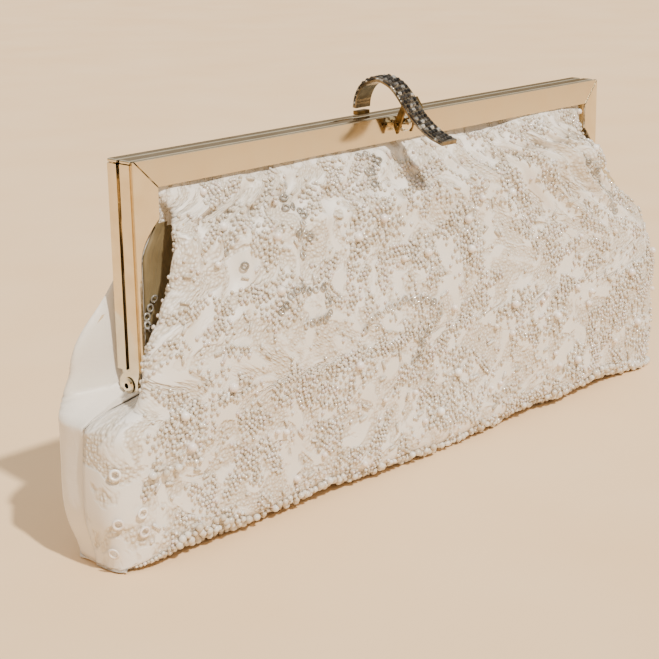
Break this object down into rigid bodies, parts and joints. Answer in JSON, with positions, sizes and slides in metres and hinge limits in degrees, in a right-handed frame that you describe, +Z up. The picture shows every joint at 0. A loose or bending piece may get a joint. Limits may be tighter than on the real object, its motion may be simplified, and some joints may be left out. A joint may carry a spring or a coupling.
{
  "type": "evening_bag",
  "caption": "Ivory beaded evening bag with a polished hinged purse frame that opens about two side rivets, and a lever clasp shaped like a looped ribbon",
  "frame": {"origin": "On the underside of the base panel, midway between the frame's ends and straight below the hinge axis", "axes": "+X along the bag to its right end, -Y out of its beaded front, +Z up through the frames"},
  "size_m": [0.2992, 0.0498, 0.1413],
  "materials": {
    "frame_metal": "polished light gold plate",
    "clasp_metal": "dark gold set with pave stones",
    "ball_metal": "polished pale gold",
    "beaded_cloth": "ivory satin under beaded lace",
    "satin": "ivory satin",
    "lining_cloth": "plain ivory lining",
    "stiffening": "non-woven interlining",
    "board": "grey board",
    "paper": "twisted paper cord"
  },
  "bodies": {
    "bag_body": {"base_panel": "satin", "base_board": "board", "front_panel": "beaded_cloth", "rear_panel": "satin", "front_stiffener": "stiffening", "rear_stiffener": "stiffening", "front_lining": "lining_cloth", "rear_lining": "lining_cloth", "gusset_left": "satin", "gusset_right": "satin", "slip_pocket": "lining_cloth", "hinge_rivet_left": "frame_metal", "hinge_rivet_right": "frame_metal"},
    "front_frame": {"front_top_rail": "frame_metal", "front_left_arm": "frame_metal", "front_right_arm": "frame_metal", "front_paper_cord": "paper", "clasp_ball": "ball_metal"},
    "rear_frame": {"rear_top_rail": "frame_metal", "rear_left_arm": "frame_metal", "rear_right_arm": "frame_metal", "rear_paper_cord": "paper", "clasp_keeper": "clasp_metal"},
    "clasp": {"clasp_ribbon": "clasp_metal", "clasp_yoke": "clasp_metal", "clasp_pin": "clasp_metal"}
  },
  "joints": [
    {"name": "front_frame_open", "type": "hinge", "parent": "bag_body", "child": "front_frame", "pos_m": [0, 0, 0.054], "axis": [1, 0, 0], "range_deg": [0, 35], "deforming": ["front_panel", "front_stiffener", "front_lining", "gusset_left", "gusset_right"]},
    {"name": "rear_frame_open", "type": "hinge", "parent": "bag_body", "child": "rear_frame", "pos_m": [0, 0, 0.054], "axis": [1, 0, 0], "range_deg": [-35, 0], "deforming": ["rear_panel", "rear_stiffener", "rear_lining", "slip_pocket"]},
    {"name": "clasp_lift", "type": "hinge", "parent": "front_frame", "child": "clasp", "pos_m": [-0.0023, -0.0115, 0.1244], "axis": [1, 0, 0], "range_deg": [0, 15]}
  ],
  "couplings": [
    {"joint": "rear_frame_open", "follows": "front_frame_open", "ratio": -1}
  ]
}
